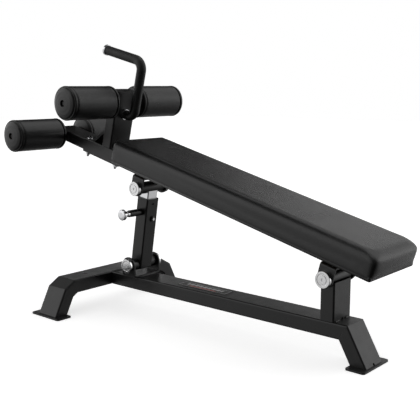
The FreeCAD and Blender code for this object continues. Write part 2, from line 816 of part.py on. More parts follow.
def pad_block(name, inset, depth, low_corner, far_corner):
    """Block with the pad's plan, drawn in by an inset, its underside on the pad frame."""
    body = new_body(name)
    half = "(pad_width / 2 - %s)" % inset
    outline(new_sketch(body, name + "_plan", "XY_Plane"), [
        ("-(pad_length - %s)" % inset, "-" + half), ("-" + inset, "-" + half),
        ("-" + inset, half), ("-(pad_length - %s)" % inset, half)])
    pad(body, body.Group[-1], depth, "One side")
    middle = -value("pad_length / 2")

    def corner(low):
        def choose(edge):
            return (runs_along(Vector(0, 0, 1))(edge)
                    and (edge.Vertexes[0].Point.x > middle) == low)
        return choose

    fillet(body, low_corner, corner(True))
    fillet(body, far_corner, corner(False))
    return body


board = pad_block("board", "board_inset", "board_thickness", "pad_corner - board_inset",
                  "pad_end_corner - board_inset")
board.Placement = on_pad()
keep(cut("drilled_board", board, screw_tools), "pad_board")

cushion_plan = pad_block("cushion_plan", "0", "pad_thickness", "pad_corner", "pad_end_corner")
cushion_plan.Placement = on_pad()
crown_block = new_body("cushion_crown")
outline(new_sketch(crown_block, "cushion_crown_plan", "XY_Plane"), [
    ("-(pad_length)", "-(pad_width / 2)"), ("0", "-(pad_width / 2)"), ("0", "pad_width / 2"),
    ("-(pad_length)", "pad_width / 2")])
pad(crown_block, crown_block.Group[-1], "pad_thickness", "One side")


def crowned(edge):
    """Picks the top edges along both sides and across the low end."""
    ends = [vertex.Point for vertex in edge.Vertexes]
    on_top = all(abs(end.z - value("pad_thickness")) < 1e-3 for end in ends)
    return on_top and max(end.x for end in ends) > -1e-3


fillet(crown_block, "pad_crown", crowned)
crown_block.Placement = on_pad()
cushion = doc.addObject("Part::MultiCommon", "cushion")
cushion.Shapes = [cushion_plan, crown_block]
recess = pad_block("cushion_recess", "board_inset", "board_thickness",
                   "pad_corner - board_inset", "pad_end_corner - board_inset")
recess.Placement = on_pad()
keep(cut("hollowed_cushion", cushion, [recess]), "pad_cushion")


# ---------------------------------------------------------------- roller beam

bolt_spots = [(along, side * value("bolt_spread"))
              for along in (value("bolt_near"), value("bolt_far")) for side in (-1, 1)]
bolt_tools = [cylinder("bolt_hole_%d" % (k + 1), "bolt_radius", "2 * beam_width",
                       on_pad(s, y, value("beam_centre")))
              for k, (s, y) in enumerate(bolt_spots)]

sleeve_tube = tube("beam_sleeve_tube", "beam_width", "beam_depth", "beam_end - beam_start",
                   "beam_wall", "tube_corner")
sleeve_tube.Placement = on_pad(value("(beam_start + beam_end) / 2"), n=value("beam_centre"),
                               turn=PAD_X)
keep(cut("beam_sleeve_cut", sleeve_tube, bolt_tools), "beam_sleeve")
end_plate = new_body("beam_end_body")
outline(new_sketch(end_plate, "beam_end_outline", "XY_Plane"),
        box_points("beam_width", "beam_depth"))
pad(end_plate, end_plate.Group[-1], "end_plate")
fillet(end_plate, "tube_corner", runs_along(Vector(0, 0, 1)))
keep(end_plate, "beam_end_plate",
     on_pad(value("beam_start - end_plate / 2"), n=value("beam_centre"), turn=PAD_X))

inner_width = "(beam_width - 2 * beam_wall - 2 * beam_gap)"
inner_depth = "(beam_depth - 2 * beam_wall - 2 * beam_gap)"
beam_bar = tube("inner_beam_tube", inner_width, inner_depth, "inner_beam_end - inner_beam_start",
                "tube_wall", "strut_corner")
beam_bar.Placement = on_pad(value("(inner_beam_start + inner_beam_end) / 2"),
                            n=value("beam_centre"), turn=PAD_X)
shaft_hole = cylinder("lower_shaft_hole", "shaft_radius", "2 * beam_width",
                      on_pad(value("lower_roller_along"), n=value("beam_centre"), turn=ALONG_Y))
keep(cut("inner_beam_cut", beam_bar, bolt_tools + [shaft_hole]), "inner_beam")

cap_plate = new_body("inner_cap_plate")
outline(new_sketch(cap_plate, "inner_cap_outline", "XY_Plane"), box_points(inner_width, inner_depth))
pad(cap_plate, cap_plate.Group[-1], "beam_cap")
fillet(cap_plate, "strut_corner", runs_along(Vector(0, 0, 1)))
cap_plate.Placement = on_pad(value("inner_beam_end + beam_cap / 2"), n=value("beam_centre"),
                             turn=PAD_X)
cap_plug = box("inner_cap_plug", inner_width + " - 2 * tube_wall - 2 * plug_gap",
               inner_depth + " - 2 * tube_wall - 2 * plug_gap", "8",
               on_pad(value("inner_beam_end"), n=value("beam_centre"), turn=PAD_X))
keep(fuse("inner_cap", [cap_plate, cap_plug]), "inner_beam_cap")


def hexagon(name, corner_radius, height, placement):
    prism = doc.addObject("Part::Prism", name)
    prism.Polygon = 6
    bind(prism, Circumradius=corner_radius, Height=height)
    prism.Placement = placement
    return prism


beam_top = value("beam_centre + beam_depth / 2")
beam_under = value("beam_centre - beam_depth / 2")
bolts = []
nuts = []
for k, (s, y) in enumerate(bolt_spots, start=1):
    washer = cylinder("bolt_washer_%d" % k, "bolt_head + 1.5", "1.5", on_pad(s, y, beam_top + 0.75))
    head = hexagon("bolt_head_%d" % k, "bolt_head", "6", on_pad(s, y, beam_top + 1.5))
    shank = doc.addObject("Part::Cylinder", "bolt_shank_%d" % k)
    bind(shank, Radius="bolt_radius", Height="beam_centre + beam_depth / 2 + 1.5 + bolt_tip")
    shank.Placement = on_pad(s, y, -value("bolt_tip"))
    bolts.append(fuse("bolt_%d" % k, [washer, head, shank]))
    nut = hexagon("nut_body_%d" % k, "bolt_head + 0.8", "9", on_pad(s, y, beam_under - 9))
    nuts.append(cut("nut_%d" % k, nut, [bolt_tools[k - 1]]))
keep(group("bolts", bolts + nuts), "beam_bolts")

# Upright that carries the upper rollers and the handle
upright_tube = tube("upright_tube", "beam_width", "upright_depth", "(upright_top - %s)" % beam_top,
                    "tube_wall", "tube_corner")
upright_tube.Placement = on_pad(value("upright_along"), n=(value("upright_top") + beam_top) / 2,
                                turn=UPRIGHT)
upper_shaft_hole = cylinder("upper_shaft_hole", "shaft_radius", "2 * beam_width",
                            on_pad(value("upright_along"), n=value("upper_roller_height"),
                                   turn=ALONG_Y))
keep(cut("upright_cut", upright_tube, [upper_shaft_hole]), "upright")
top_plate = new_body("upright_cap_plate")
outline(new_sketch(top_plate, "upright_cap_outline", "XY_Plane"),
        box_points("beam_width", "upright_depth"))
pad(top_plate, top_plate.Group[-1], "upright_cap")
fillet(top_plate, "tube_corner", runs_along(Vector(0, 0, 1)))
top_plate.Placement = on_pad(value("upright_along"), n=value("upright_top + upright_cap / 2"),
                             turn=UPRIGHT)
top_plug = box("upright_cap_plug", "upright_depth - 2 * tube_wall - 2 * plug_gap",
               "beam_width - 2 * tube_wall - 2 * plug_gap", "12",
               on_pad(value("upright_along"), n=value("upright_top") - 12))
keep(fuse("upright_cap_whole", [top_plate, top_plug]), "upright_cap")

# Slanted plate that props the upright, its ends cut to the upright and the beam
gusset = new_body("gusset")
slant = "(gusset_thickness * sqrt(1 + (gusset_height / gusset_length) ^ 2))"
toe = "(gusset_thickness * sqrt(1 + (gusset_length / gusset_height) ^ 2))"
outline(new_sketch(gusset, "gusset_outline", "XZ_Plane"),
        [("-gusset_length", "0"), ("-(gusset_length - %s)" % toe, "0"),
         ("0", "gusset_height - %s" % slant), ("0", "gusset_height")])
pad(gusset, gusset.Group[-1], "gusset_width")
keep(gusset, "upright_gusset", on_pad(value("upright_along + upright_depth / 2"), n=beam_top))


# ---------------------------------------------------------------- rollers

AXLES = {
    "upper": (value("upright_along"), value("upper_roller_height")),
    "lower": (value("lower_roller_along"), value("beam_centre")),
}
journal = "(roller_outer + 2.5)"
shaft_tip = "(roller_outer + 8.5)"
shafts = []
shaft_bolts = []
for level, (s, n) in AXLES.items():
    shaft = revolved("shaft_" + level, [
        ("0", "-" + shaft_tip), ("journal_radius", "-" + shaft_tip),
        ("journal_radius", "-" + journal), ("shaft_radius", "-" + journal),
        ("shaft_radius", journal), ("journal_radius", journal),
        ("journal_radius", shaft_tip), ("0", shaft_tip)])
    shaft.Placement = on_pad(s, 0, n, ALONG_Y)
    shafts.append(shaft)
    for side in (-1, 1):
        tag = "%s_%s" % (level, mirrored_name(side))
        outward = Rotation(Vector(1, 0, 0), -90 * side)
        roller_frame = on_pad(s, 0, n, outward)

        washer = cylinder("shaft_washer_" + tag, "journal_radius + 2.5", "2",
                          roller_frame.multiply(place(z=value(shaft_tip + " + 1"))))
        head = hexagon("shaft_head_" + tag, "journal_radius", "5",
                       roller_frame.multiply(place(z=value(shaft_tip + " + 2"))))
        shaft_bolts.append(fuse("shaft_bolt_" + tag, [washer, head]))

        foam = revolved("foam_" + tag, [
            ("roller_bore", "roller_inner"), ("roller_radius", "roller_inner"),
            ("roller_radius", "roller_outer"), ("roller_bore", "roller_outer")])
        rim_radius = value("roller_radius")
        fillet(foam, "roller_edge",
               lambda edge: hasattr(edge.Curve, "Radius")
               and abs(edge.Curve.Radius - rim_radius) < 1e-3 and len(edge.Vertexes) == 1)
        keep(foam, "roller_foam_" + tag, roller_frame)

        outer_cap = revolved("outer_cap_" + tag, [
            ("shaft_radius + 1", "-20"), ("roller_bore", "-20"), ("roller_bore", "0"),
            ("roller_radius - 0.5", "0"), ("roller_radius - 0.5", "6"),
            ("roller_radius - 1.5", "9"), ("roller_radius - 3.5", "10.5"),
            ("roller_radius - 5.5", "10.5"), ("roller_radius - 5.5", "8"),
            ("roller_radius - 7", "8"), ("roller_radius - 7", "12"),
            ("roller_radius - 11", "15"), ("roller_radius - 21", "18.5"), ("24", "20.6"),
            ("12.5", "21"), ("11.5", "20"), ("11.5", "8"), ("journal_bore", "8"),
            ("journal_bore", "3"), ("shaft_radius + 1", "3")])
        outer_cap.Placement = roller_frame.multiply(place(z=value("roller_outer")))
        inner_cap = revolved("inner_cap_" + tag, [
            ("shaft_bore", "-20"), ("roller_bore", "-20"), ("roller_bore", "0"),
            ("roller_radius - 0.5", "0"), ("roller_radius - 0.5", "5"),
            ("roller_radius - 1.5", "8"), ("roller_radius - 3.5", "9.5"),
            ("roller_radius - 5.5", "9.5"), ("roller_radius - 5.5", "7"),
            ("roller_radius - 7", "7"), ("roller_radius - 7", "10"),
            ("roller_radius - 11", "12.5"), ("roller_radius - 21", "15.5"), ("20", "18"),
            ("shaft_bore", "18")])
        inner_cap.Placement = roller_frame.multiply(
            place(z=value("roller_inner"), turn=Rotation(Vector(1, 0, 0), 180)))
        keep(group("caps_" + tag, [inner_cap, outer_cap]), "roller_caps_" + tag)
keep(group("shafts", shafts), "roller_shafts")
keep(group("shaft_bolts", shaft_bolts), "roller_shaft_bolts")


# ---------------------------------------------------------------- handle

def handle_bar(name, radius, root):
    """Solid bar along the handle's middle line, starting from a point along the pad."""
    foot_s = value("handle_along + handle_foot_bend")
    top_s = value("handle_along + handle_top_bend")
    low = value("handle_height")
    high = value("handle_top")
    foot_run = "%s - handle_along - handle_foot_bend" % root
    rise = "handle_top - handle_height - handle_foot_bend - handle_top_bend"
    top_run = "handle_tip - handle_along - handle_top_bend"
    foot_n = low + value("handle_foot_bend")
    top_n = high - value("handle_top_bend")
    pieces = [
        cylinder(name + "_foot", radius, foot_run,
                 on_pad(foot_s + value(foot_run) / 2, n=low, turn=ALONG_X)),
        cylinder(name + "_rise", radius, rise,
                 on_pad(value("handle_along"), n=(foot_n + top_n) / 2)),
        cylinder(name + "_top", radius, top_run,
                 on_pad(top_s + value(top_run) / 2, n=high, turn=ALONG_X)),
    ]
    for which, s, n, start in (("foot", foot_s, foot_n, -90), ("top", top_s, top_n, 0)):
        bend = doc.addObject("Part::Torus", "%s_%s_bend" % (name, which))
        bind(bend, Radius1="handle_%s_bend" % which, Radius2=radius)
        bend.Angle3 = 90
        bend.Placement = on_pad(s, n=n, turn=OUTWARD).multiply(
            place(turn=Rotation(Vector(0, 0, 1), start)))
        pieces.append(bend)
    return fuse(name, pieces)


upright_face = "(upright_along - upright_depth / 2)"
rod_core = handle_bar("handle_core", "handle_radius", upright_face)
keep(cut("handle_pipe", rod_core, [handle_bar("handle_void", "handle_bore", upright_face)]),
     "handle_tube")
collar_face = "(%s - flange_thickness)" % upright_face
keep(cut("grip_skin", handle_bar("grip_core", "grip_radius", collar_face), [rod_core]),
     "handle_grip")
flange = cylinder("collar_disc", "flange_radius", "flange_thickness",
                  on_pad(value(upright_face + " - flange_thickness / 2"),
                         n=value("handle_height"), turn=ALONG_X))
keep(cut("collar_cut", flange, [rod_core]), "handle_collar")
tip = revolved("tip_disc", [
    ("0", "0"), ("flange_radius - 1", "0"), ("flange_radius", "1"),
    ("flange_radius", "end_cap_length - 2"), ("flange_radius - 2", "end_cap_length"),
    ("0", "end_cap_length")])
tip.Placement = on_pad(value("handle_tip"), n=value("handle_top"),
                       turn=Rotation(Vector(0, 1, 0), -90))
set_screw = cylinder("tip_screw_hole", "2", "flange_radius",
                     on_pad(value("handle_tip + end_cap_length / 2"), -value("flange_radius"),
                            value("handle_top"), ALONG_Y))
keep(cut("tip_cut", tip, [set_screw]), "handle_end_cap")


# ---------------------------------------------------------------- checks and export

doc.recompute()
for thing in doc.Objects:
    if {"Invalid", "Error"} & set(thing.State):
        raise RuntimeError("%s did not build: %s" % (thing.Label, thing.State))
for thing in parts:
    if thing.Shape.isNull() or not thing.Shape.isValid() or not thing.Shape.Solids:
        raise RuntimeError("%s has no sound solid" % thing.Label)

os.makedirs("parts", exist_ok=True)
whole = FreeCAD.BoundBox()
for thing in parts:
    whole.add(thing.Shape.BoundBox)
    thing.Shape.exportStep("parts/%s.step" % thing.Label)
print("%d parts" % len(parts))
print("X %.2f %.2f  Y %.2f %.2f  Z %.2f %.2f" % (
    whole.XMin, whole.XMax, whole.YMin, whole.YMax, whole.ZMin, whole.ZMax))
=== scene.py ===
import json
import math

import bmesh
import bpy
from mathutils import Matrix, Vector


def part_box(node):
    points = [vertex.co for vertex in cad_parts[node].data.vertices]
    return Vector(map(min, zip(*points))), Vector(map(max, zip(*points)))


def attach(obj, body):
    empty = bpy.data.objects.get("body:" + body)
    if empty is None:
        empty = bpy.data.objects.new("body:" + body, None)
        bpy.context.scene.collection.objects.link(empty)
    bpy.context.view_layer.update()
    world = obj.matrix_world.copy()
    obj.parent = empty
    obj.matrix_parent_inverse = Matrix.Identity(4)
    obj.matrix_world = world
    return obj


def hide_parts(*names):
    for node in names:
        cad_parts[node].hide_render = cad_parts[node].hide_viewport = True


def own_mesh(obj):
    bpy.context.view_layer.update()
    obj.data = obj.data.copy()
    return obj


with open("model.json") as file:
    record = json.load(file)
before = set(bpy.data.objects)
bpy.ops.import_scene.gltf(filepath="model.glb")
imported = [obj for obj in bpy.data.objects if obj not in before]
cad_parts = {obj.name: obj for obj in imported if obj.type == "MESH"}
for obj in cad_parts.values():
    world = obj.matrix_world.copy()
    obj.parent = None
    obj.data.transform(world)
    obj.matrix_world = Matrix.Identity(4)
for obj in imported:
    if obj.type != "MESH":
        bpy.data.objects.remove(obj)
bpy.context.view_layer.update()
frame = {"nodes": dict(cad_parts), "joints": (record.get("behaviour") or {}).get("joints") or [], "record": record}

# Decline sit-up bench, in metres. The pad frame's x runs down the slope, its z stands square to the
# pad, and its origin is the middle of the low end of the pad's underside.

# Slope of the pad at rest, and where its low end sits from the rear pivot
INCLINE = math.radians(14.1)
PIVOT_INSET = 0.1735
PIVOT_DROP = 0.0796

# Pad: a reach is how far along x and along y a corner takes to turn
PAD_LENGTH = 1.092
PAD_WIDTH = 0.270
PAD_THICKNESS = 0.082
PAD_CORNER = 0.006
PAD_SOFT_REACH = (0.032, 0.062)
PAD_TOP_REACH = (0.045, 0.050)
PAD_END_SWELL = 0.008
PAD_FAR_CORNER = 0.003
PAD_CROWN = 0.026
HEM_INSET = 0.003
HEM_WIDTH = 0.021

# Rollers reach from the inner to the outer distance off the middle. S runs up the slope from the
# pad's low end, and N square to it.
ROLLER_RADIUS = 0.061
ROLLER_INNER = 0.071
ROLLER_OUTER = 0.261
ROLLER_CORE = 0.020
UPRIGHT_S = 1.2165
UPPER_AXIS_N = 0.186
LOWER_AXIS_S = 1.490
BEAM_N = -0.014
BEAM_DEPTH = 0.055
UPRIGHT_DEPTH = 0.047

# Cloth that the covers are blown up as
CLOTH = {
    "quality": 6,
    "mass": 0.4,
    "tension_stiffness": 25,
    "compression_stiffness": 25,
    "bending_stiffness": 3,
}
CLOTH_FRAMES = 20
PAD_VOXEL = 0.005
ROLLER_VOXEL = 0.004

# Half length of the beads that run across the tubes
WELD_REACH = 0.045


def joint_named(name):
    return next(joint for joint in frame["joints"] if joint["name"] == name)


SLOPE = Matrix.Rotation(INCLINE, 4, "Y")
PAD_ORIGIN = (Vector(joint_named("incline")["pos_m"])
              + SLOPE @ Vector((PIVOT_INSET, 0, PIVOT_DROP)))
PAD_FRAME = Matrix.Translation(PAD_ORIGIN) @ SLOPE


def pad_point(s, y, n):
    """World point s up the slope from the pad's low end, y across it and n square to it."""
    return PAD_FRAME @ Vector((-s, y, n))


# ---------------------------------------------------------------- materials

class Surface:
    """A procedural material under construction."""

    def __init__(self, name):
        self.material = bpy.data.materials.new(name)
        self.material.use_nodes = True
        self.tree = self.material.node_tree
        self.shader = self.tree.nodes["Principled BSDF"]
        self.where = self.node("ShaderNodeTexCoord").outputs["Object"]

    def node(self, kind, **inputs):
        made = self.tree.nodes.new(kind)
        for key, setting in inputs.items():
            self.put(made.inputs[key.replace("_", " ")], setting)
        return made

    def put(self, socket, setting):
        """Links a socket to another node's output, or sets its value."""
        if isinstance(setting, bpy.types.NodeSocket):
            self.tree.links.new(setting, socket)
        else:
            socket.default_value = setting

    def noise(self, scale, detail=3.0, stretch=None):
        """Noise over the object; stretch squeezes it along the axes."""
        where = self.where
        if stretch is not None:
            mapping = self.node("ShaderNodeMapping", Vector=where)
            mapping.inputs["Scale"].default_value = stretch
            where = mapping.outputs["Vector"]
        made = self.node("ShaderNodeTexNoise", Vector=where, Scale=scale, Detail=detail)
        return made.outputs["Fac"]

    def cells(self, scale):
        """Distance to the nearest cell edge, for leather grain."""
        made = self.node("ShaderNodeTexVoronoi", Vector=self.where, Scale=scale)
        made.feature = "DISTANCE_TO_EDGE"
        return made.outputs["Distance"]

    def math(self, operation, a, b=0.0, clamp=False):
        made = self.tree.nodes.new("ShaderNodeMath")
        made.operation = operation
        made.use_clamp = clamp
        self.put(made.inputs[0], a)
        self.put(made.inputs[1], b)
        return made.outputs[0]

    def between(self, factor, low, high, start=0.0, end=1.0):
        made = self.node("ShaderNodeMapRange", Value=factor)
        made.inputs["From Min"].default_value = start
        made.inputs["From Max"].default_value = end
        made.inputs["To Min"].default_value = low
        made.inputs["To Max"].default_value = high
        return made.outputs["Result"]

    def mix(self, factor, a, b):
        made = self.tree.nodes.new("ShaderNodeMix")
        made.data_type = "RGBA"
        self.put(made.inputs["Factor"], factor)
        self.put(made.inputs["A"], a)
        self.put(made.inputs["B"], b)
        return made.outputs["Result"]

    def rounded(self, radius):
        """Normal that rounds the sharp edges of plate and tube."""
        made = self.tree.nodes.new("ShaderNodeBevel")
        made.samples = 6
        made.inputs["Radius"].default_value = radius
        return made.outputs["Normal"]

    def edges(self, normal):
        """Near 1 along sharp edges and 0 on flat faces."""
        geometry = self.tree.nodes.new("ShaderNodeNewGeometry")
        dot = self.tree.nodes.new("ShaderNodeVectorMath")
        dot.operation = "DOT_PRODUCT"
        self.put(dot.inputs[0], normal)
        self.put(dot.inputs[1], geometry.outputs["Normal"])
        turned = self.math("SUBTRACT", 1.0, dot.outputs["Value"])
        return self.math("MULTIPLY", turned, 9.0, clamp=True)

    def crevices(self, reach):
        """Near 0 deep in grooves and 1 in the open, as a mask for painted shade."""
        made = self.tree.nodes.new("ShaderNodeAmbientOcclusion")
        made.samples = 8
        made.inputs["Distance"].default_value = reach
        return made.outputs["AO"]

    def bump(self, height, depth, normal=None):
        made = self.node("ShaderNodeBump", Height=height, Strength=1.0, Distance=depth)
        if normal is not None:
            self.put(made.inputs["Normal"], normal)
        return made.outputs["Normal"]

    def finish(self, **inputs):
        for key, setting in inputs.items():
            self.put(self.shader.inputs[key.replace("_", " ")], setting)
        return self.material


def grey(level, warmth=0.0):
    return (level * (1 + warmth), level, level * (1 - warmth), 1.0)


def powder_coat():
    """Satin black powder coat: fine orange peel, faint dust, and paint thinned on the edges."""
    s = Surface("powder_coat")
    normal = s.rounded(0.0012)
    worn = s.math("MULTIPLY", s.edges(normal), s.between(s.noise(55), 0, 1, 0.42, 0.62))
    dust = s.between(s.noise(9, 5), 0, 0.35, 0.45, 0.75)
    colour = s.mix(dust, grey(0.008), grey(0.012))
    colour = s.mix(s.math("MULTIPLY", worn, 0.4), colour, grey(0.06, 0.02))
    rough = s.between(s.noise(26, 4), 0.27, 0.36, 0.3, 0.7)
    normal = s.bump(s.noise(1500, 2), 0.00012, normal)
    return s.finish(Base_Color=colour, Roughness=rough, Normal=normal, Specular_IOR_Level=0.5)


def chrome():
    """Bright plate with faint smears, hairline scratches and duller rims."""
    s = Surface("chrome")
    normal = s.rounded(0.0006)
    smear = s.noise(38, 4)
    hairs = s.noise(900, 1, (1.0, 0.04, 1.0))
    rough = s.math("ADD", s.between(smear, 0.06, 0.16, 0.35, 0.7),
                   s.math("MULTIPLY", s.edges(normal), 0.12))
    colour = s.mix(smear, (0.78, 0.79, 0.81, 1), (0.88, 0.88, 0.89, 1))
    normal = s.bump(hairs, 0.00001, normal)
    return s.finish(Base_Color=colour, Metallic=1.0, Roughness=rough, Normal=normal)


def brushed_chrome():
    """Turned and plated disc: a fine grain, a soft sheen and duller rims."""
    s = Surface("brushed_chrome")
    normal = s.rounded(0.0006)
    smear = s.noise(30, 4)
    rough = s.math("ADD", s.between(smear, 0.15, 0.24, 0.35, 0.7),
                   s.math("MULTIPLY", s.edges(normal), 0.1))
    colour = s.mix(smear, (0.84, 0.84, 0.85, 1), (0.92, 0.92, 0.92, 1))
    normal = s.bump(s.noise(1300, 2), 0.00003, normal)
    return s.finish(Base_Color=colour, Metallic=1.0, Roughness=rough, Normal=normal)


def blackened_steel():
    """Blackened bolt heads, rubbed bright on the corners."""
    s = Surface("blackened_steel")
    normal = s.rounded(0.0005)
    rubbed = s.math("MULTIPLY", s.edges(normal), s.between(s.noise(90), 0, 1, 0.35, 0.6))
    colour = s.mix(s.noise(40), grey(0.03), grey(0.05))
    colour = s.mix(rubbed, colour, grey(0.45, 0.01))
    rough = s.between(s.noise(60), 0.3, 0.45, 0.3, 0.7)
    normal = s.bump(s.noise(900, 2), 0.00003, normal)
    return s.finish(Base_Color=colour, Metallic=0.8, Roughness=rough, Normal=normal)


def plain_steel():
    """Turned steel with a fine lay and an oily film."""
    s = Surface("plain_steel")
    normal = s.rounded(0.0004)
    lay = s.noise(700, 2, (1.0, 0.06, 1.0))
    rough = s.between(s.noise(60), 0.28, 0.45, 0.3, 0.7)
    colour = s.mix(s.noise(45), grey(0.42), grey(0.55, 0.01))
    normal = s.bump(lay, 0.00002, normal)
    return s.finish(Base_Color=colour, Metallic=1.0, Roughness=rough, Normal=normal)


def bronze():
    """Bearing bronze, dulled and stained."""
    s = Surface("bronze")
    normal = s.rounded(0.0004)
    stain = s.noise(120, 4)
    colour = s.mix(stain, (0.30, 0.19, 0.09, 1), (0.52, 0.37, 0.19, 1))
    rough = s.between(stain, 0.3, 0.5, 0.3, 0.7)
    normal = s.bump(s.noise(1400), 0.00002, normal)
    return s.finish(Base_Color=colour, Metallic=1.0, Roughness=rough, Normal=normal)


def black_plastic(name="black_plastic", level=0.007, shine=0.38):
    """Moulded black plastic with a spark-eroded grain, scuffed edges and painted shade in its grooves."""
    s = Surface(name)
    normal = s.rounded(0.0008)
    scuff = s.math("MULTIPLY", s.edges(normal), s.between(s.noise(70), 0, 0.5, 0.4, 0.65))
    colour = s.mix(s.noise(14), grey(level), grey(level * 1.4))
    colour = s.mix(scuff, colour, grey(level * 5))
    # Painted shade: the colour darkens deep in grooves and where parts close in.
    colour = s.mix(s.crevices(0.006), grey(level * 0.3), colour)
    rough = s.between(s.noise(34, 4), shine - 0.06, shine + 0.1, 0.3, 0.7)
    normal = s.bump(s.noise(2200, 2), 0.00006, normal)
    return s.finish(Base_Color=colour, Roughness=rough, Normal=normal)


def grip_rubber():
    """Matte rubber sleeve, finely stippled and polished a little by hands."""
    s = Surface("grip_rubber")
    colour = s.mix(s.noise(18, 4), grey(0.007), grey(0.012))
    rough = s.between(s.noise(22, 3), 0.42, 0.6, 0.35, 0.65)
    normal = s.bump(s.cells(700), 0.00015)
    return s.finish(Base_Color=colour, Roughness=rough, Normal=normal)


def vinyl(name, level, low, high, coat):
    """Black vinyl with a pebbled grain, painted shade in its grooves, soft creases and a little polish."""
    s = Surface(name)
    grain = s.between(s.cells(520), 0.0, 1.0, 0.0, 0.18)
    pores = s.noise(1900, 2)
    waves = s.noise(16, 3)
    colour = s.mix(waves, grey(level), grey(level * 1.35))
    # Painted shade: the colour darkens in the grooves between the pebbles of the grain.
    colour = s.mix(s.math("MULTIPLY", s.math("SUBTRACT", 1.0, grain), 0.4), colour,
                   grey(level * 0.55))
    rough = s.math("ADD", s.between(s.noise(11, 4), low, high, 0.3, 0.7),
                   s.math("MULTIPLY", pores, 0.05))
    normal = s.bump(waves, 0.00012)
    normal = s.bump(grain, 0.00010, normal)
    normal = s.bump(pores, 0.00004, normal)
    return s.finish(Base_Color=colour, Roughness=rough, Normal=normal, Coat_Weight=coat,
                    Coat_Roughness=0.35)


def plywood():
    """Bare plywood with long grain."""
    s = Surface("plywood")
    rings = s.noise(40, 6, (0.12, 1.0, 1.0))
    colour = s.mix(rings, (0.20, 0.12, 0.06, 1), (0.42, 0.29, 0.16, 1))
    rough = s.between(s.noise(60), 0.6, 0.8)
    normal = s.bump(s.noise(300, 4, (0.05, 1.0, 1.0)), 0.0002)
    return s.finish(Base_Color=colour, Roughness=rough, Normal=normal)


def label():
    """Dark label with a pale border, a bar of pale blocks, a red stripe, and faint scuffs."""
    margin = 0.003
    line = 0.0012
    block_pitch = 0.010
    block_length = 0.0075
    bar_reach = 0.082
    stripe_reach = 0.06
    low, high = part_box("label_plate")
    middle = (low + high) / 2
    half_x = (high.x - low.x) / 2 - margin
    half_y = (high.y - low.y) / 2 - margin
    s = Surface("label")
    normal = s.rounded(0.0004)
    apart = s.node("ShaderNodeSeparateXYZ", Vector=s.where)
    along = s.math("ABSOLUTE", s.math("SUBTRACT", apart.outputs["X"], middle.x))
    across = s.math("SUBTRACT", apart.outputs["Y"], middle.y)

    def band(value, centre, half):
        return s.math("LESS_THAN", s.math("ABSOLUTE", s.math("SUBTRACT", value, centre)), half)

    blocks = s.math("LESS_THAN", s.math("PINGPONG", along, block_pitch), block_length)
    bar = s.math("MULTIPLY", s.math("MULTIPLY", band(across, 0.003, 0.009), blocks),
                 band(along, 0, bar_reach))
    ends = s.math("MULTIPLY", band(along, half_x, line), band(across, 0, half_y + line))
    sides = s.math("MULTIPLY", band(s.math("ABSOLUTE", across), half_y, line),
                   band(along, 0, half_x))
    pale = s.math("MAXIMUM", bar, s.math("MAXIMUM", ends, sides))
    red = s.math("MULTIPLY", band(across, -0.0125, 0.0028), band(along, 0, stripe_reach))
    speck = s.noise(400, 3)
    colour = s.mix(s.noise(30), grey(0.012), grey(0.018))
    colour = s.mix(pale, colour, s.mix(speck, grey(0.40), grey(0.55)))
    colour = s.mix(red, colour, (0.42, 0.03, 0.025, 1))
    rough = s.between(s.noise(80), 0.3, 0.45)
    normal = s.bump(speck, 0.00002, normal)
    return s.finish(Base_Color=colour, Roughness=rough, Normal=normal)


MATERIALS = {
    "black_frame": powder_coat(),
    "chrome": chrome(),
    "plain_steel": plain_steel(),
    "bronze": bronze(),
    "black_plastic": black_plastic(),
    "grip_rubber": grip_rubber(),
    "pad_vinyl": vinyl("pad_vinyl", 0.007, 0.18, 0.25, 0.1),
    "roller_foam": vinyl("roller_vinyl", 0.007, 0.24, 0.33, 0.1),
    "roller_cap": black_plastic("roller_cap", 0.006, 0.32),
    "board": plywood(),
    "label": label(),
}

# Hardware whose plating differs from the rest of its slot
DISC_CHROME = brushed_chrome()
FINISHES = {
    "roller_shaft_bolts": blackened_steel(),
    "pad_pivot_caps": DISC_CHROME,
    "lower_pivot_caps": DISC_CHROME,
}

for entry in frame["record"]["subparts"]:
    node = frame["nodes"][entry["node"]]
    node.data.materials.clear()
    node.data.materials.append(FINISHES.get(entry["node"], MATERIALS[entry["material_slot"]]))


# ---------------------------------------------------------------- mesh helpers

def add_object(name, mesh, slot, body, placement=None):
    """Puts a mesh in the scene as a piece that rides on a body."""
    piece = bpy.data.objects.new(name, mesh)
    bpy.context.scene.collection.objects.link(piece)
    if placement is not None:
        mesh.transform(placement)
    for polygon in mesh.polygons:
        polygon.use_smooth = True
    mesh.materials.clear()
    mesh.materials.append(MATERIALS[slot])
    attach(piece, body)
    return piece


def mesh_of(name, build):
    """Mesh filled by a function that gets an empty bmesh."""
    mesh = bpy.data.meshes.new(name)
    work = bmesh.new()
    build(work)
    bmesh.ops.recalc_face_normals(work, faces=work.faces)
    work.to_mesh(mesh)
    work.free()
    return mesh


def stack_rings(work, rings, closed_ends=True):
    """Skins a list of rings, each a list of points of one length."""
    loops = [[work.verts.new(point) for point in ring] for ring in rings]
    count = len(loops[0])
    for low, high in zip(loops, loops[1:]):
        for k in range(count):
            work.faces.new((low[k], low[(k + 1) % count], high[(k + 1) % count], high[k]))
    if closed_ends:
        work.faces.new(loops[0][::-1])
        work.faces.new(loops[-1])


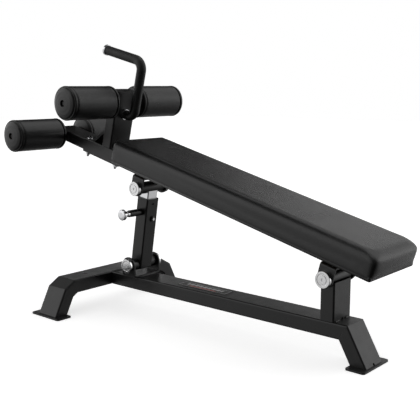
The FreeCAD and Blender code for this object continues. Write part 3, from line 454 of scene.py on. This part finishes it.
def inflate(mesh, pressure, cap, pinned, voxel):
    """Remeshes a closed form, blows it up as cloth and keeps every point within cap of its start.

    pinned(point) says which points stay where they are.
    """
    piece = bpy.data.objects.new("inflating", mesh)
    bpy.context.scene.collection.objects.link(piece)
    bpy.context.view_layer.objects.active = piece
    remesh = piece.modifiers.new("remesh", "REMESH")
    remesh.mode = "VOXEL"
    remesh.voxel_size = voxel
    apply_modifiers(piece)
    start = [vertex.co.copy() for vertex in piece.data.vertices]
    hold = piece.vertex_groups.new(name="hold")
    hold.add([k for k, point in enumerate(start) if pinned(point)], 1.0, "REPLACE")
    cloth = piece.modifiers.new("cloth", "CLOTH")
    for key, setting in CLOTH.items():
        setattr(cloth.settings, key, setting)
    cloth.settings.vertex_group_mass = "hold"
    cloth.settings.use_pressure = True
    cloth.settings.uniform_pressure_force = pressure
    cloth.settings.effector_weights.gravity = 0
    cloth.point_cache.frame_start = 1
    cloth.point_cache.frame_end = CLOTH_FRAMES
    for step in range(1, CLOTH_FRAMES + 1):
        bpy.context.scene.frame_set(step)
    apply_modifiers(piece)
    bpy.context.scene.frame_set(1)
    settled = [capped(vertex.co, origin, cap)
               for vertex, origin in zip(piece.data.vertices, start)]
    for vertex, point in zip(piece.data.vertices, settled):
        vertex.co = point
    smooth = piece.modifiers.new("smooth", "SMOOTH")
    smooth.factor = 0.5
    smooth.iterations = 2
    finer = piece.modifiers.new("finer", "SUBSURF")
    finer.levels = 1
    apply_modifiers(piece)
    result = piece.data.copy()
    bpy.data.objects.remove(piece)
    return result


def apply_modifiers(piece):
    """Replaces a piece's mesh by what its modifiers make of it."""
    graph = bpy.context.evaluated_depsgraph_get()
    made = bpy.data.meshes.new_from_object(piece.evaluated_get(graph))
    piece.modifiers.clear()
    piece.data = made


def capped(point, origin, cap):
    """The point, brought back to within cap of its origin."""
    shift = point - origin
    return origin + shift * min(1.0, cap / shift.length) if shift.length > 0 else point


# ---------------------------------------------------------------- pad

def plan_ring(inset, height, crowned=0.0, soft=0.0, top=0.0):
    """Outline of the pad at one height, in the pad frame.

    inset draws in all four sides; crowned draws in all but the far end, which is cut square.
    soft and top run from 0 to 1: up from the square foot, the corners of the low end get
    broader and that end swells a little, and towards the top they turn round.
    """
    side = PAD_WIDTH / 2 - inset - crowned
    low = -inset - crowned
    far = -PAD_LENGTH + inset
    reach_x, reach_y = [PAD_CORNER + soft * (a - PAD_CORNER) + top * (b - a)
                        for a, b in zip(PAD_SOFT_REACH, PAD_TOP_REACH)]
    squareness = 2 + 4 * soft * (1 - top) + 0.6 * top
    power = 2 / squareness
    swell = PAD_END_SWELL * soft * (1 - top)
    end_steps = 10
    corner_steps = 16
    half = [(low, (side - reach_y) * k / end_steps) for k in range(end_steps)]
    for k in range(corner_steps + 1):
        angle = math.radians(90 * k / corner_steps)
        half.append((low - reach_x * (1 - max(math.cos(angle), 0.0) ** power),
                     side - reach_y * (1 - math.sin(angle) ** power)))
    half = [(x + swell * (1 - 0.4 * (y / side) ** 2) * max(0.0, 1 - (low - x) / reach_x), y)
            for x, y in half]
    half += [(far + PAD_FAR_CORNER, side), (far, side - PAD_FAR_CORNER)]
    outline = half + [(x, -y) for x, y in reversed(half[1:])]
    return [(x, y, height) for x, y in outline]


def eased(value):
    """Runs smoothly from 0 to 1 as the value does, and stays there outside."""
    value = min(max(value, 0.0), 1.0)
    return value * value * (3 - 2 * value)


def pad_form(work):
    """Pad a little under size: square foot, straight sides and a rounded top edge."""
    shrink = 0.0004
    foot = 0.0005
    square_height = 0.003
    softening = 0.035
    side_steps = 12
    crown_steps = 14
    crown_start = PAD_THICKNESS - shrink - PAD_CROWN
    rings = []
    for k in range(side_steps):
        height = foot + (crown_start - foot) * k / side_steps
        soft = eased((height - square_height) / softening)
        rings.append(plan_ring(shrink, height, soft=soft))
    for k in range(crown_steps + 1):
        angle = math.radians(90 * k / crown_steps)
        rise = math.sin(angle)
        rings.append(plan_ring(shrink, crown_start + PAD_CROWN * rise,
                               PAD_CROWN * (1 - math.cos(angle)), 1.0, eased(rise)))
    stack_rings(work, rings)


def hem_form(work):
    """Edge of the cover, drawn down over the board and folded under it."""
    outer = 0.0007
    inner = HEM_INSET + HEM_WIDTH
    # Inset and height: down the outside, under the board, and back up inside
    section = [(outer + 0.004, 0.016), (outer + 0.0006, 0.012), (outer, 0.0015),
               (outer + 0.0015, -0.0012), (inner - 0.001, -0.0012), (inner, -0.0002),
               (outer + 0.005, 0.0006), (outer + 0.004, 0.016)]
    stack_rings(work, [plan_ring(inset, height) for inset, height in section],
                closed_ends=False)
    bmesh.ops.remove_doubles(work, verts=work.verts, dist=1e-6)


def staples_form(work):
    """Wire staples in a row round the hem."""
    side_pitch = 0.0415
    end_pitch = 0.036
    depth = -0.0015
    length, width, thickness = 0.011, 0.0013, 0.0008
    edge = 0.00025
    inset = HEM_INSET + HEM_WIDTH * 0.62
    side = PAD_WIDTH / 2 - inset
    spots = [(-0.03 - side_pitch * k, y, 0) for k in range(26) for y in (-side, side)]
    spots += [(x, -0.09 + end_pitch * k, 90) for k in range(6)
              for x in (-inset, inset - PAD_LENGTH)]
    for x, y, turn in spots:
        place = (Matrix.Translation((x, y, depth))
                 @ Matrix.Rotation(math.radians(turn), 4, "Z")
                 @ Matrix.Diagonal((length, width, thickness, 1.0)))
        bmesh.ops.create_cube(work, size=1.0, matrix=place)
    bmesh.ops.bevel(work, geom=list(work.edges), offset=edge, segments=2, affect="EDGES")


def even_top(mesh):
    """Takes the ripples of the remesh out of the pad's top, well inside its rounded edge."""
    far_margin = 0.008
    blend = 0.009
    skin = 0.003
    side = PAD_WIDTH / 2 - PAD_CROWN
    shares = []
    for vertex in mesh.vertices:
        x, y, z = vertex.co
        inside = min(side - abs(y), -PAD_CROWN - x, x + PAD_LENGTH - far_margin)
        on_top = z > PAD_THICKNESS - skin
        shares.append((vertex, eased(inside / blend) if on_top else 0.0))
    middle = [vertex.co.z for vertex, share in shares if share == 1.0]
    height = sum(middle) / len(middle)
    for vertex, share in shares:
        vertex.co.z += (height - vertex.co.z) * share


def make_pad():
    held_height = 0.012
    held_end = 0.006
    mesh = inflate(mesh_of("pad_form", pad_form), pressure=4.0, cap=0.0005, voxel=PAD_VOXEL,
                   pinned=lambda point: (point.z < held_height
                                         or point.x < held_end - PAD_LENGTH))
    even_top(mesh)
    cushion = add_object("pad_cover", mesh, "pad_vinyl", "back_frame", PAD_FRAME)
    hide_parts("pad_cushion")
    add_object("pad_hem", mesh_of("pad_hem", hem_form), "pad_vinyl", "back_frame", PAD_FRAME)
    add_object("pad_staples", mesh_of("pad_staples", staples_form), "plain_steel", "back_frame",
               PAD_FRAME)


make_pad()


# ---------------------------------------------------------------- rollers

def circle_ring(radius, height, count=96):
    return [(radius * math.cos(2 * math.pi * k / count),
             radius * math.sin(2 * math.pi * k / count), height) for k in range(count)]


def roller_form(work):
    """Foam tube with rounded ends, its axis along Z, a little under size."""
    shrink = 0.001
    edge = 0.006
    edge_steps = 6
    bore = ROLLER_CORE + 0.001
    length = ROLLER_OUTER - ROLLER_INNER
    outer = []
    for k in range(edge_steps + 1):
        angle = math.radians(90 * k / edge_steps)
        outer.append((ROLLER_RADIUS - shrink - edge * (1 - math.sin(angle)),
                      edge * (1 - math.cos(angle))))
    profile = outer + [(radius, length - height) for radius, height in reversed(outer)]
    profile += [(bore, length), (bore, 0.0)]
    rings = [circle_ring(radius, height) for radius, height in profile]
    stack_rings(work, rings + rings[:1], closed_ends=False)
    bmesh.ops.remove_doubles(work, verts=work.verts, dist=1e-6)


def make_rollers():
    held_end = 0.004
    held_core = 0.03
    length = ROLLER_OUTER - ROLLER_INNER
    mesh = inflate(mesh_of("roller_form", roller_form), pressure=3.0, cap=0.0014,
                   voxel=ROLLER_VOXEL,
                   pinned=lambda point: (point.z < held_end or point.z > length - held_end
                                         or math.hypot(point.x, point.y) < held_core))
    axes = {"upper": (UPRIGHT_S, UPPER_AXIS_N), "lower": (LOWER_AXIS_S, BEAM_N)}
    for level, (s, n) in axes.items():
        for hand, side in (("left", 1), ("right", -1)):
            tag = "%s_%s" % (level, hand)
            centre = pad_point(s, 0, n)
            turn = Matrix.Rotation(math.radians(-90 * side), 4, "X")
            offset = Matrix.Translation((0, 0, ROLLER_INNER))
            placement = Matrix.Translation(centre) @ turn @ offset
            cover = add_object("roller_cover_" + tag, mesh.copy(), "roller_foam",
                               "roller_" + tag, placement)
            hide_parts("roller_foam_" + tag)


make_rollers()


# ---------------------------------------------------------------- pull pin spring

def make_spring():
    """Coil round the plunger, against the end of the barrel. The real one shortens as the pin is pulled; this one
    keeps its length.
    """
    low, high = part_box("pin_spring")
    middle = (low + high) / 2
    wire = 0.0005
    radius = (high.x - low.x) / 2 - wire
    reach = high.y - low.y - 2 * wire
    turns = 10
    steps = 28
    wire_sides = 8

    def coil(work):
        rings = []
        for k in range(turns * steps + 1):
            angle = 2 * math.pi * k / steps
            outward = Vector((math.cos(angle), 0, math.sin(angle)))
            centre = Vector((middle.x, low.y + wire + reach * k / (turns * steps), middle.z))
            rings.append([centre + outward * (radius + wire * math.cos(turn))
                          + Vector((0, wire * math.sin(turn), 0))
                          for turn in (2 * math.pi * j / wire_sides
                                       for j in range(wire_sides))])
        stack_rings(work, rings)

    spring = add_object("pin_spring_coil", mesh_of("pin_spring_coil", coil), "plain_steel",
                        "strut_outer")
    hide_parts("pin_spring")
    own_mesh(spring)


make_spring()


# ---------------------------------------------------------------- welds

def add_bead(name, body, start, end, radius=0.0035):
    """Rippled weld bead in the corner between two pieces of tube."""
    ring_pitch = 0.0009
    ring_sides = 14
    end_size = 0.35
    ripple_depth = 0.13
    rings_per_ripple = 4
    start = Vector(start)
    end = Vector(end)
    turn = (end - start).to_track_quat("Z", "Y").to_matrix().to_4x4()
    length = (end - start).length
    steps = max(int(length / ring_pitch), 4)
    rings = []
    for k in range(steps + 1):
        taper = min(1.0, 4 * min(k, steps - k) / steps + end_size)
        ripple = 1 + ripple_depth * abs(math.sin(math.pi * k / rings_per_ripple))
        rings.append(circle_ring(radius * taper * ripple, length * k / steps, ring_sides))
    mesh = mesh_of(name, lambda work: stack_rings(work, rings))
    add_object(name, mesh, "black_frame", body, Matrix.Translation(start) @ turn)


def add_base_welds():
    """Beads at the feet of the post and the lower bracket, and where the rail meets the bar."""
    def across(name, x, z, start=-WELD_REACH, end=WELD_REACH):
        add_bead(name, "base", (x, start, z), (x, end, z))

    vent_gap = 0.015
    sunk = 0.0012
    low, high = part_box("rear_post")
    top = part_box("base_rail")[1].z
    across("weld_post_front", low.x, top)
    across("weld_post_left", high.x, top, start=vent_gap)
    across("weld_post_right", high.x, top, end=-vent_gap)
    low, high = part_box("lower_bracket")
    across("weld_bracket_front", low.x, top)
    across("weld_bracket_rear", high.x, top)
    across("weld_rail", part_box("base_rail")[0].x, top - sunk)


def add_upright_welds():
    """Beads round the foot of the upright."""
    top = BEAM_N + BEAM_DEPTH / 2
    for name, s in (("weld_upright_low", UPRIGHT_S - UPRIGHT_DEPTH / 2),
                    ("weld_upright_high", UPRIGHT_S + UPRIGHT_DEPTH / 2)):
        add_bead(name, "back_frame", pad_point(s, -WELD_REACH, top),
                 pad_point(s, WELD_REACH, top))


add_base_welds()
add_upright_welds()


# ---------------------------------------------------------------- studio

# How bright the studio is from below (-1) to overhead (1)
STUDIO = [(-1.0, 0.02), (-0.7, 0.08), (-0.45, 0.32), (-0.3, 0.5), (-0.12, 0.8), (0.0, 0.95),
          (0.3, 1.2), (0.5, 1.05), (1.0, 1.05)]
# Patches that dim or brighten the studio. Each has a direction, the cosines of the angles from it
# at which the patch starts and is full, and the factor that it puts on the brightness.
PATCHES = [
    ((-0.20, 0.90, 0.35), 0.80, 0.93, 0.52),
    ((-0.74, 0.49, 0.49), 0.865, 0.945, 0.0),
    ((-0.38, -0.10, 0.92), 0.89, 0.955, 0.0),
    ((0.74, 0.58, 0.33), 0.92, 0.985, 1.5),
    ((-0.77, 0.60, 0.20), 0.97, 0.993, 3.2),
    ((0.62, 0.72, -0.05), 0.85, 0.97, 1.15),
    ((0.857, -0.515, 0.0), 0.18, 0.50, 0.12),
]


# A colour ramp stops at 1, so levels go in divided by this and come out multiplied by it
HEADROOM = 2.0


def add_floor():
    """White floor that the object's surfaces neither mirror nor pick up light from."""
    size = 14.0
    mesh = mesh_of("floor", lambda work: bmesh.ops.create_grid(
        work, x_segments=1, y_segments=1, size=size))
    s = Surface("floor")
    colour = s.mix(s.noise(0.8), grey(0.88), grey(0.92))
    material = s.finish(Base_Color=colour, Roughness=s.between(s.noise(3), 0.75, 0.85),
                        Emission_Color=colour, Emission_Strength=0.75)
    mesh.materials.append(material)
    floor = bpy.data.objects.new("floor", mesh)
    floor.visible_glossy = False
    floor.visible_diffuse = False
    bpy.context.scene.collection.objects.link(floor)


def add_world():
    """White to the camera; to the object a studio that is dark below, with patches."""
    world = bpy.data.worlds.new("studio")
    world.use_nodes = True
    tree = world.node_tree
    background = tree.nodes["Background"]

    def node(kind):
        return tree.nodes.new(kind)

    def multiply(a, b):
        made = node("ShaderNodeMath")
        made.operation = "MULTIPLY"
        tree.links.new(a, made.inputs[0])
        tree.links.new(b, made.inputs[1])
        return made.outputs[0]

    direction = node("ShaderNodeTexCoord").outputs["Generated"]
    apart = node("ShaderNodeSeparateXYZ")
    tree.links.new(direction, apart.inputs[0])
    height = node("ShaderNodeMapRange")
    height.inputs["From Min"].default_value = -1.0
    tree.links.new(apart.outputs["Z"], height.inputs["Value"])
    ramp = node("ShaderNodeValToRGB")
    tree.links.new(height.outputs["Result"], ramp.inputs["Fac"])
    points = ramp.color_ramp.elements
    while len(points) < len(STUDIO):
        points.new(0.5)
    for point, (z, level) in zip(points, STUDIO):
        point.position = (z + 1) / 2
        point.color = (level / HEADROOM, level / HEADROOM, level / HEADROOM, 1)
    level = ramp.outputs["Color"]

    for aim, edge, core, patch_level in PATCHES:
        dot = node("ShaderNodeVectorMath")
        dot.operation = "DOT_PRODUCT"
        tree.links.new(direction, dot.inputs[0])
        dot.inputs[1].default_value = Vector(aim).normalized()
        fade = node("ShaderNodeMapRange")
        fade.interpolation_type = "SMOOTHSTEP"
        fade.inputs["From Min"].default_value = edge
        fade.inputs["From Max"].default_value = core
        fade.inputs["To Min"].default_value = 1.0
        fade.inputs["To Max"].default_value = patch_level
        tree.links.new(dot.outputs["Value"], fade.inputs["Value"])
        level = multiply(level, fade.outputs["Result"])

    path = node("ShaderNodeLightPath")
    pick = node("ShaderNodeMix")
    pick.data_type = "FLOAT"
    tree.links.new(path.outputs["Is Camera Ray"], pick.inputs["Factor"])
    tree.links.new(level, pick.inputs["A"])
    pick.inputs["B"].default_value = 1 / HEADROOM
    restore = node("ShaderNodeMath")
    restore.operation = "MULTIPLY"
    restore.inputs[1].default_value = HEADROOM
    tree.links.new(pick.outputs["Result"], restore.inputs[0])
    background.inputs["Color"].default_value = (1, 1, 1, 1)
    tree.links.new(restore.outputs[0], background.inputs["Strength"])
    bpy.context.scene.world = world


def add_camera():
    image_pixels = 420
    focal_pixels = 760.57
    place = (1.7467, -1.974, 0.839)
    yaw = math.radians(40.693)
    pitch = math.radians(9.355)
    data = bpy.data.cameras.new("camera")
    data.sensor_width = 36.0
    data.lens = focal_pixels / image_pixels * data.sensor_width
    camera = bpy.data.objects.new("camera", data)
    camera.location = place
    aim = Vector((-math.sin(yaw) * math.cos(pitch), math.cos(yaw) * math.cos(pitch),
                  -math.sin(pitch)))
    camera.rotation_euler = aim.to_track_quat("-Z", "Y").to_euler()
    bpy.context.scene.collection.objects.link(camera)
    bpy.context.scene.camera = camera


add_floor()
add_world()
add_camera()
bpy.context.scene.view_settings.view_transform = "Standard"
